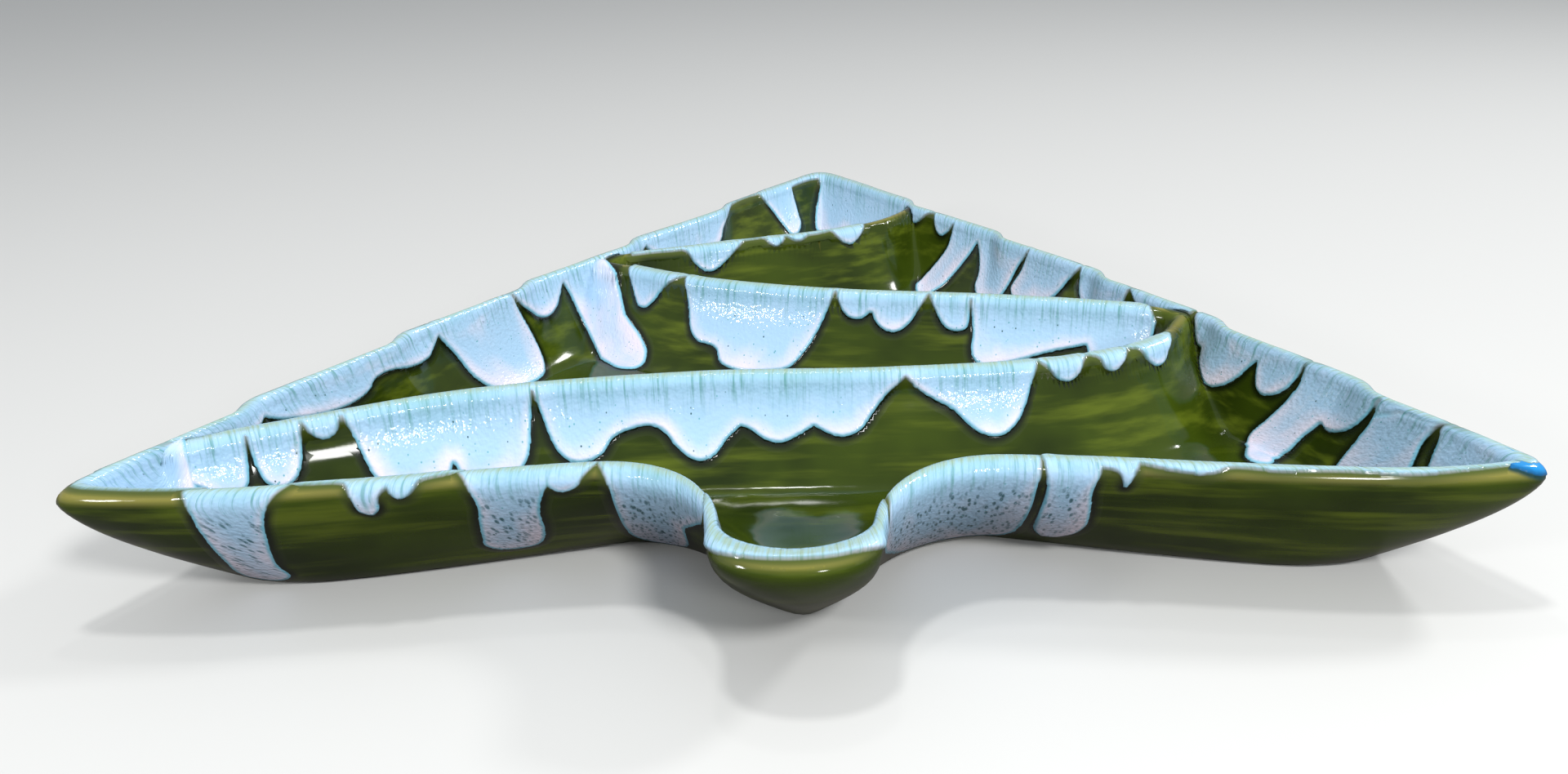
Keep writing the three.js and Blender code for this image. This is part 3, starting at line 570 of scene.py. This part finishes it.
# place on a divider at a run along its route and a run down from its crest, positive on the trunk's side
def legPlace(leg, along, down):
    route = legRoutes[leg]
    run = runOf(route)
    plan = np.stack([np.interp(along, run, route[:, k]) for k in (0, 1)], -1)
    ahead = np.stack([np.interp(along, run, np.gradient(route[:, k], run)) for k in (0, 1)], -1)
    trunkSide = np.stack([ahead[:, 1], -ahead[:, 0]], -1) / np.linalg.norm(ahead, axis=1)[:, None]
    if route[0, 0] > route[-1, 0]:
        trunkSide = -trunkSide
    plan = plan + trunkSide * (np.sign(down) * np.interp(np.abs(down), faceRun, faceReach))[:, None]
    hits = [hollow.ray_cast((x, y, dish["rimHeight"] * 2), (0, 0, -1))[0] for x, y in plan]
    bowl = np.array([hit.z if hit else dish["floorThickness"] for hit in hits])
    height = insideHeight(plan, bowl, np.full(len(plan), dish["coveReach"]))
    return np.concatenate([plan, height[:, None]], -1)


# smooth line through each lobe's points, with a cusp where one lobe hands over to the next
def edgeLine(lobes):
    closed = [np.array(lobe + after[:1], float) for lobe, after in zip(lobes, lobes[1:])]
    line = [catmullRom(lobe, coating["spanPoints"])[:-1] for lobe in closed]
    return np.vstack(line + [np.array(lobes[-1][-1:], float)])


def insideLoop(points, loop):  # which points the closed line holds
    a, b = loop, np.roll(loop, -1, axis=0)
    found = np.zeros(len(points), bool)
    for (ax, ay), (bx, by) in zip(a, b):
        if ay == by:
            continue
        span = (ay > points[:, 1]) != (by > points[:, 1])
        found ^= span & (points[:, 0] < ax + (points[:, 1] - ay) * (bx - ax) / (by - ay))
    return found


# splits the triangles where the value passes the level, so that a crease can follow that line
def cutAt(points, value, triangles, level):
    sign = np.sign(value - level).astype(int)
    corner = sign[triangles]
    mixed = (corner.min(1) < 0) & (corner.max(1) > 0)
    keep = [triangles[~mixed]]
    triangles, corner = triangles[mixed], corner[mixed]
    touching = (corner == 0).any(1)
    odd = -np.sign(corner.sum(1))[:, None]
    lone = np.where(touching, (corner == 0).argmax(1), (corner == odd).argmax(1))
    row = np.arange(len(triangles))
    a, b, c = (triangles[row, (lone + k) % 3] for k in range(3))
    edges = np.concatenate([np.stack([b, c], 1)[touching], np.stack([a, b], 1)[~touching],
                            np.stack([a, c], 1)[~touching]])
    pairs, index = np.unique(np.sort(edges, axis=1), axis=0, return_inverse=True)
    index = index.reshape(-1) + len(points)
    part = ((level - value[pairs[:, 0]]) / (value[pairs[:, 1]] - value[pairs[:, 0]]))[:, None]
    points = np.vstack([points, points[pairs[:, 0]] * (1 - part) + points[pairs[:, 1]] * part])
    value = np.concatenate([value, np.full(len(pairs), level)])
    first, second = touching.sum(), (~touching).sum()
    m, ab, ac = index[:first], index[first:first + second], index[first + second:]
    t, n = touching, ~touching
    cut = [(a[t], b[t], m), (a[t], m, c[t]), (a[n], ab, ac), (ab, b[n], c[n]), (ab, c[n], ac)]
    return points, value, np.vstack(keep + [np.stack(three, 1) for three in cut])


# a coat's clay-side skin: everything inside its edge, and the dark line of green glaze around it
def coatSkin(name, place, thinness, near, far):
    loop = np.vstack([edgeLine(near), edgeLine(far)[::-1]])
    loop = spaced(np.vstack([loop, loop[:1]]), coating["edgePitch"])[:-1]
    low, high = loop.min(0) - coating["margin"], loop.max(0) + coating["margin"]
    axes = [np.arange(low[k], high[k] + coating["pitch"], coating["pitch"]) for k in (0, 1)]
    points = np.stack(np.meshgrid(*axes, indexing="ij"), -1).reshape(-1, 2)
    tree = KDTree(len(loop))
    for index, spot in enumerate(place(*loop.T)):
        tree.insert(spot, index)
    tree.balance()
    edge = np.array([tree.find(spot)[2] for spot in place(*points.T)])
    edge = np.where(insideLoop(points, loop), edge, -edge)
    for level in coating["levels"]:
        edge = np.where(np.abs(edge - level) < coating["pitch"] * coating["snap"], level, edge)
    i, j = np.meshgrid(np.arange(len(axes[0]) - 1), np.arange(len(axes[1]) - 1), indexing="ij")
    a = (i * len(axes[1]) + j).reshape(-1)
    b, c, d = a + len(axes[1]), a + len(axes[1]) + 1, a + 1
    triangles = np.vstack([np.stack([a, b, c], 1), np.stack([a, c, d], 1)])
    for level in coating["levels"]:
        points, edge, triangles = cutAt(points, edge, triangles, level)
    outer = coating["levels"][0]
    triangles = triangles[(edge[triangles] >= outer).all(1) & (edge[triangles] > outer).any(1)]
    used, triangles = np.unique(triangles, return_inverse=True)
    points, edge, triangles = points[used], edge[used], triangles.reshape(-1, 3)
    spots = place(*points.T)
    corner = [spots[triangles[:, k]] for k in range(3)]
    if np.cross(corner[1] - corner[0], corner[2] - corner[0])[:, 2].sum() < 0:
        triangles = triangles[:, ::-1]
    skin = newMesh(name, toRow(spots[:, :2], spots[:, 2]), triangles.tolist(), None)
    crest = np.abs(points[:, 1])
    share = crest / np.maximum(crest + np.maximum(edge, 0), coating["leastRun"])
    given = dict(edge=edge, along=points[:, 0], down=points[:, 1], share=share, thin=thinness(*points.T))
    for key, values in given.items():
        skin.data.attributes.new(key, "FLOAT", "POINT").data.foreach_set("value", values.astype(np.float32))
    return skin


# colours are written as on a screen and turned to the linear values that light works in
def linear(code):
    parts = [int(code[i:i + 2], 16) / 255 for i in (1, 3, 5)]
    return [p / 12.92 if p <= 0.04045 else ((p + 0.055) / 1.055) ** 2.4 for p in parts] + [1.0]


# a node's inputs: sockets are linked, colours made linear, other values set
def setInputs(tree, node, inputs):
    for key, value in inputs.items():
        for part in value if isinstance(value, list) else [value]:
            if isinstance(part, bpy.types.NodeSocket):
                tree.links.new(part, node.inputs[key])
            elif isinstance(part, str) and part.startswith("#"):
                node.inputs[key].default_value = linear(part)
            else:
                node.inputs[key].default_value = part


# one node with its settings, inputs and links, which gives one of its outputs, or all of them for None
def addNode(tree, kind, inputs=None, give=0, **settings):
    node = tree.nodes.new(kind)
    for key, value in settings.items():
        setattr(node, key, value)
    setInputs(tree, node, inputs or {})
    return node.outputs if give is None else node.outputs[give]


# tree that lays a glaze coat over its clay-side skin: thin on the crest, a fat bead along the edge
def coatTree():
    tree = bpy.data.node_groups.new("glazeCoat", "GeometryNodeTree")
    sizes = ("Thin", "Thick", "Bead", "Film", "Sink", "Border", "Crest")
    sockets = [("Skin", "Geometry"), *((label, "Float") for label in sizes), ("Glaze", "Material")]
    for label, kind in sockets:
        tree.interface.new_socket(label, in_out="INPUT", socket_type="NodeSocket" + kind)
    tree.interface.new_socket("Coat", in_out="OUTPUT", socket_type="NodeSocketGeometry")
    node = partial(addNode, tree)
    given = node("NodeGroupInput", give=None)
    edge, share = (node("GeometryNodeInputNamedAttribute", {"Name": key}, data_type="FLOAT")
                   for key in ("edge", "share"))
    normal = node("GeometryNodeInputNormal")
    # a quarter round from the edge up to the full thickness
    left = node("ShaderNodeMapRange", {"Value": edge, "From Max": given["Bead"],
                                       "To Min": 1.0, "To Max": 0.0})
    square = node("ShaderNodeMath", {0: left, 1: left}, operation="MULTIPLY")
    bead = node("ShaderNodeMath", {0: 1.0, 1: square}, operation="SUBTRACT")
    bead = node("ShaderNodeMath", {0: bead}, operation="SQRT")
    full = node("ShaderNodeMapRange", {"Value": share, "From Min": given["Crest"], "From Max": 1.0,
                                       "To Min": given["Thin"], "To Max": given["Thick"]})
    # the dark line around it is a film that runs out, and the coat's back sinks a little into the clay
    film, sink = (node("ShaderNodeMapRange", {"Value": edge, "From Min": given["Border"], "From Max": 0.0,
                                              "To Max": given[label]}) for label in ("Film", "Sink"))
    lift = node("ShaderNodeMath", {0: bead, 1: full, 2: film}, operation="MULTIPLY_ADD")
    drop = node("ShaderNodeMath", {0: sink, 1: -1.0}, operation="MULTIPLY")
    sides = []
    for amount in (drop, lift):
        offset = node("ShaderNodeVectorMath", {0: normal, "Scale": amount}, operation="SCALE")
        sides.append(node("GeometryNodeSetPosition", {"Geometry": given["Skin"], "Offset": offset}))
    sides[0] = node("GeometryNodeFlipFaces", {"Mesh": sides[0]})
    joined = node("GeometryNodeJoinGeometry", {0: sides})
    closed = node("GeometryNodeMergeByDistance", {"Geometry": joined, "Distance": 1e-7})
    # the fold between the two sides stays sharp
    fold = node("ShaderNodeMath", {0: given["Border"], 1: 0.01}, operation="ADD")
    rim = node("FunctionNodeCompare", {0: edge, 1: fold}, operation="LESS_THAN")
    folded = node("GeometryNodeSetShadeSmooth", {0: closed, "Selection": rim, "Shade Smooth": False},
                  domain="EDGE")
    whole = node("GeometryNodeRealizeInstances", {"Geometry": folded})
    glazed = node("GeometryNodeSetMaterial", {"Geometry": whole, "Material": given["Glaze"]})
    node("NodeGroupOutput", {"Coat": glazed}, give=None)
    return tree


# runs a tree on a piece and leaves the result as its plain mesh
def settle(piece, tree, values):
    modifier = piece.modifiers.new(tree.name, "NODES")
    modifier.node_group = tree
    for item in tree.interface.items_tree:
        if item.in_out == "INPUT" and item.name in values:
            modifier[item.identifier] = values[item.name]
    piece.update_tag()
    shape = bpy.data.meshes.new_from_object(piece.evaluated_get(bpy.context.evaluated_depsgraph_get()))
    piece.modifiers.remove(modifier)
    piece.data = shape


def newMaterial(name):
    material = bpy.data.materials.new(name)
    material.use_nodes = True
    return material, material.node_tree, material.node_tree.nodes["Principled BSDF"]


# colour in layers of (colour, strength, ranges): each shows where its values pass from low to high
def layered(tree, colour, *layers):
    for over, share, *ranges in layers:
        for value, low, high in ranges:
            met = addNode(tree, "ShaderNodeMapRange", {"Value": value, "From Min": low, "From Max": high},
                          interpolation_type="SMOOTHSTEP")
            share = addNode(tree, "ShaderNodeMath", {0: met, 1: share}, operation="MULTIPLY")
        mix = {"Factor": share, 6: colour, 7: over}  # sockets 6 and 7 are the two colours
        colour = addNode(tree, "ShaderNodeMix", mix, give=2, data_type="RGBA")
    return colour


# brushed green glaze: pools dark, lighter in long strokes, breaks to ochre where it is thin
def greenColour(tree):
    node = partial(addNode, tree)
    place = node("ShaderNodeTexCoord", give="Object")
    brushed = node("ShaderNodeMapping", {"Vector": place, "Scale": (0.25, 1.0, 3.0)})
    pool, stroke = (
        node("ShaderNodeTexNoise", {"Vector": vector, "Scale": 1 / (size * mm), "Detail": detail}, give="Fac")
        for vector, size, detail in ((place, 35, 3.0), (brushed, 12, 4.0)))
    thin = node("ShaderNodeAttribute", give="Fac", attribute_name="thin")
    return layered(tree, "#1c2804", ("#36450a", 1.0, (pool, 0.3, 0.7)),
                   ("#536016", 1.0, (stroke, 0.45, 0.75)), ("#857f3e", thin))


# fired gloss glaze on earthenware: a wet shine over a slightly uneven surface
def oliveGlaze():
    material, tree, shader = newMaterial("oliveGlaze")
    node = partial(addNode, tree)
    place = node("ShaderNodeTexCoord", give="Object")
    swell = node("ShaderNodeTexNoise", {"Vector": place, "Scale": 1 / (9 * mm), "Detail": 1.0}, give="Fac")
    uneven = node("ShaderNodeBump", {"Height": swell, "Strength": 0.25, "Distance": 0.6 * mm})
    setInputs(tree, shader, {"Base Color": greenColour(tree), "Normal": uneven, "Roughness": 0.09,
                             "Specular IOR Level": 0.32})
    return material


# second glaze that ran over the first: fine teal streaks at the crest, sky blue below, white where it is
# thick, specked with pinholes, mottled and flecked on the outside, with a cyan line along its edge, a dark
# line of green around it and a fine orange peel that breaks up its shine
def streakedOverglaze():
    material, tree, shader = newMaterial("streakedOverglaze")
    node = partial(addNode, tree)
    edge, share, along, down = (node("ShaderNodeAttribute", give="Fac", attribute_name=key)
                                for key in ("edge", "share", "along", "down"))
    fall = node("ShaderNodeMath", {0: down}, operation="ABSOLUTE")
    place = node("ShaderNodeCombineXYZ", {0: along, 1: down})  # in mm, as the attributes are
    grain = dict(  # squeeze along the fall, size in mm, detail, roughness
        streak=(0.06, 1.1, 4.0, 0.65), cloud=(0.4, 11.0, 3.0, 0.5), mottle=(0.55, 2.2, 5.0, 0.7),
        peel=(0.8, 1.2, 1.0, 0.5))
    for key, (squeeze, size, detail, rough) in grain.items():
        run = node("ShaderNodeMapping", {"Vector": place, "Scale": (1.0, squeeze, 1.0)})
        look = {"Vector": run, "Scale": 1 / size, "Detail": detail, "Roughness": rough}
        grain[key] = node("ShaderNodeTexNoise", look, give="Fac")
    spots = dict(fleck=(0.42, 0.75), pore=(0.75, 0.62), pit=(0.75, 0.3))  # squeeze, cells to a mm
    for key, (squeeze, cells) in spots.items():
        run = node("ShaderNodeMapping", {"Vector": place, "Scale": (1.0, squeeze, 1.0)})
        spots[key] = node("ShaderNodeTexVoronoi", {"Vector": run, "Scale": cells}, give=None)
    some = {}
    for key in ("pore", "pit"):  # only some of the cells hold a pinhole
        chance = node("ShaderNodeSeparateColor", {0: spots[key]["Color"]})
        some[key] = node("ShaderNodeMath", {0: chance, 1: grain["cloud"]}, operation="ADD")
    cloudy = node("ShaderNodeMath", {0: grain["cloud"], 1: 0.5, 2: -0.28}, operation="MULTIPLY_ADD")
    depth = node("ShaderNodeMath", {0: share, 1: 0.85, 2: cloudy}, operation="MULTIPLY_ADD")
    low = node("ShaderNodeMapRange", {"Value": fall, "From Min": 1.5, "From Max": 9.0},
               interpolation_type="SMOOTHSTEP")
    lining, start, end = (node("ShaderNodeMath", {0: low, 1: slope, 2: crest}, operation="MULTIPLY_ADD")
                          for slope, crest in ((0.65, 0.2), (0.55, -0.5), (-0.7, 1.0)))
    outside = [(down, -5.0, -13.0), (depth, 1.0, 0.6)]
    blue = layered(
        tree, "#8cbac8", ("#9ac3dd", 1.0, (depth, 0.0, 0.25)), ("#a6c9e6", 1.0, (depth, 0.25, 0.5)),
        ("#e4dbea", 1.0, (depth, 0.55, 0.9)),
        ("#528f89", 0.85, (grain["streak"], 0.46, 0.7), (fall, 15.0, 1.0)),
        ("#5d8a96", 1.0, *outside, (grain["mottle"], 0.5, 0.9)),
        ("#426a76", 1.0, *outside, (spots["fleck"]["Distance"], 0.5, 0.22), (grain["mottle"], 0.34, 0.55)),
        ("#6aa7b4", 1.0, (spots["pore"]["Distance"], 0.2, 0.08), (some["pore"], 0.95, 1.1), (fall, 3.0, 9.0)),
        ("#2a5254", 1.0, (spots["pit"]["Distance"], 0.1, 0.04), (some["pit"], 0.95, 1.1), (fall, 3.0, 9.0)),
        ("#a3ad7e", 0.55, (fall, 2.6, 0.2), (grain["streak"], 0.3, 0.6)),
        ("#63b9d2", lining, (edge, 1.5, 0.3)))
    whole = layered(tree, "#46521f", ("#0c1406", low), (greenColour(tree), 1.0, (edge, -0.2, -2.6)),
                    (blue, 1.0, (edge, start, end)))
    peel = node("ShaderNodeMapRange", {"Value": edge}, interpolation_type="SMOOTHSTEP")
    peel = node("ShaderNodeMath", {0: grain["peel"], 1: peel}, operation="MULTIPLY")
    bump = node("ShaderNodeBump", {"Height": peel, "Strength": 0.5, "Distance": 0.4 * mm})
    setInputs(tree, shader, {"Base Color": whole, "Normal": bump, "Roughness": 0.11})
    return material


# bright blue gloss glaze, a touch of it on one corner
def brightBlue():
    material, tree, shader = newMaterial("brightBlueGlaze")
    edge = addNode(tree, "ShaderNodeAttribute", give="Fac", attribute_name="edge")
    blue = layered(tree, "#0d5f96", ("#1583c6", 1.0, (edge, 0.2, 1.6)))
    whole = layered(tree, "#173a3a", (greenColour(tree), 1.0, (edge, -0.4, -1.6)),
                    (blue, 1.0, (edge, -0.2, 0.3)))
    setInputs(tree, shader, {"Base Color": whole, "Roughness": 0.14})
    return material


body, hollow = makeBody(oliveGlaze())
print("body", len(body.data.polygons), "faces")
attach(body, "root")
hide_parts("tray_shell", "lower_divider", "middle_divider", "upper_divider")

tree = coatTree()
overglaze, cornerBlue = streakedOverglaze(), brightBlue()
for node, coat in coats.items():
    leg = coat.get("leg")
    place, thinness = wallPlace, lipThinness
    if leg:
        place = lambda along, down, leg=leg: legPlace(leg, along, down)
        thinness = lambda along, down: crestThinness(np.interp(np.abs(down), faceRun, faceReach))
    first, *rest = node.replace("glaze", "coat").split("_")
    name = first + "".join(word.title() for word in rest)  # rightFrontCoat for right_front_glaze
    piece = coatSkin(name, place, thinness, coat["near"], coat["far"])
    touch = node == "right_corner_touch"
    settle(piece, tree, {"Thin": coating["thin"] * mm, "Thick": coat.get("thick", coating["thick"]) * mm,
                         "Bead": coating["bead"], "Film": coating["film"] * mm, "Sink": coating["sink"] * mm,
                         "Border": coating["levels"][0], "Crest": coating["crestShare"],
                         "Glaze": cornerBlue if touch else overglaze})
    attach(piece, "root")
    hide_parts(node)
    print(piece.name, len(piece.data.polygons), "faces")

# camera where the picture was taken from, found from the rim's corners, steps, tip and trunk
shot = dict(width=1920, focal=1660.0, centre=1040.0, sensor=36.0,  # in pixels, the sensor in mm
            place=(13.2, -274.3, 136.4),  # from the corner line and the top of the rim, in mm
            yaw=-0.28, pitch=22.55, roll=-1.12)


def addCamera():
    data = bpy.data.cameras.new("camera")
    data.sensor_width = shot["sensor"]
    data.lens = shot["focal"] / shot["width"] * data.sensor_width
    data.shift_x = (shot["width"] / 2 - shot["centre"]) / shot["width"]
    data.clip_start = 0.01
    camera = bpy.data.objects.new("camera", data)
    yaw, pitch, roll = (math.radians(shot[k]) for k in ("yaw", "pitch", "roll"))
    ahead = Vector((math.sin(yaw) * math.cos(pitch), math.cos(yaw) * math.cos(pitch), -math.sin(pitch)))
    across = Vector((math.cos(yaw), -math.sin(yaw), 0))
    up = across.cross(ahead)
    right = across * math.cos(roll) + up * math.sin(roll)
    up = up * math.cos(roll) - across * math.sin(roll)
    x, y, z = shot["place"]
    spot = Vector((x, y + cornerLine, z + dish["rimHeight"])) * mm
    turn = Matrix((right, up, -ahead)).transposed().to_4x4()
    camera.matrix_world = Matrix.Translation(spot) @ turn
    bpy.context.scene.collection.objects.link(camera)
    bpy.context.scene.camera = camera


addCamera()
print("camera set")

# soft studio: places and sizes in metres, power in watts; what doesn't shine only lights the glaze
studio = dict(
    floorReach=3.0, floorSeen="#cfcfcd", floorReflected="#6c6966", floorRoughness=0.6,
    sky="#e4e8ec", skyPower=0.6,
    lamps=dict(
        keySoftbox=dict(place=(0.45, -0.95, 0.8), size=0.22, power=10.5, shines=False),
        sideSoftbox=dict(place=(0.9, 0.3, 0.8), size=0.2, power=4.5, shines=True),
        topSoftbox=dict(place=(-0.1, -0.1, 1.3), size=0.14, power=4.5, shines=False),
        rightLamp=dict(place=(0.3, -0.85, 0.37), size=0.12, power=1.5, shines=True),
        leftLamp=dict(place=(-0.61, -0.58, 0.37), size=0.12, power=1.5, shines=True),
        topLamp=dict(place=(-0.07, 0.3, 1.25), size=0.08, power=0.8, shines=True),
    ),
)


def addStage():
    s = studio
    material, tree, shader = newMaterial("paleFloor")
    seen = addNode(tree, "ShaderNodeLightPath", give="Is Camera Ray")
    # matt paper, pale to the eye and a mid grey table in what the glaze reflects
    floorColour = layered(tree, s["floorReflected"], (s["floorSeen"], seen))
    setInputs(tree, shader, {"Base Color": floorColour, "Roughness": s["floorRoughness"]})
    reach = s["floorReach"]
    corners = [(-reach, -reach, 0), (reach, -reach, 0), (reach, reach, 0), (-reach, reach, 0)]
    floor = newMesh("floor", corners, [(0, 1, 2, 3)], material)
    world = bpy.data.worlds.new("studio")
    world.use_nodes = True
    sky = world.node_tree.nodes["Background"]
    setInputs(world.node_tree, sky, {"Color": s["sky"], "Strength": s["skyPower"]})
    bpy.context.scene.world = world
    for name, given in s["lamps"].items():
        lamp = bpy.data.lights.new(name, "AREA")
        lamp.shape = "DISK"
        lamp.size = given["size"]
        lamp.energy = given["power"]
        box = bpy.data.objects.new(name, lamp)
        box.location = given["place"]
        box.visible_glossy = given["shines"]
        box.rotation_euler = (-Vector(given["place"])).to_track_quat("-Z", "Y").to_euler()
        bpy.context.scene.collection.objects.link(box)


addStage()
print("studio set,", len(studio["lamps"]), "lamps")
bpy.context.scene.view_settings.view_transform = "Standard"
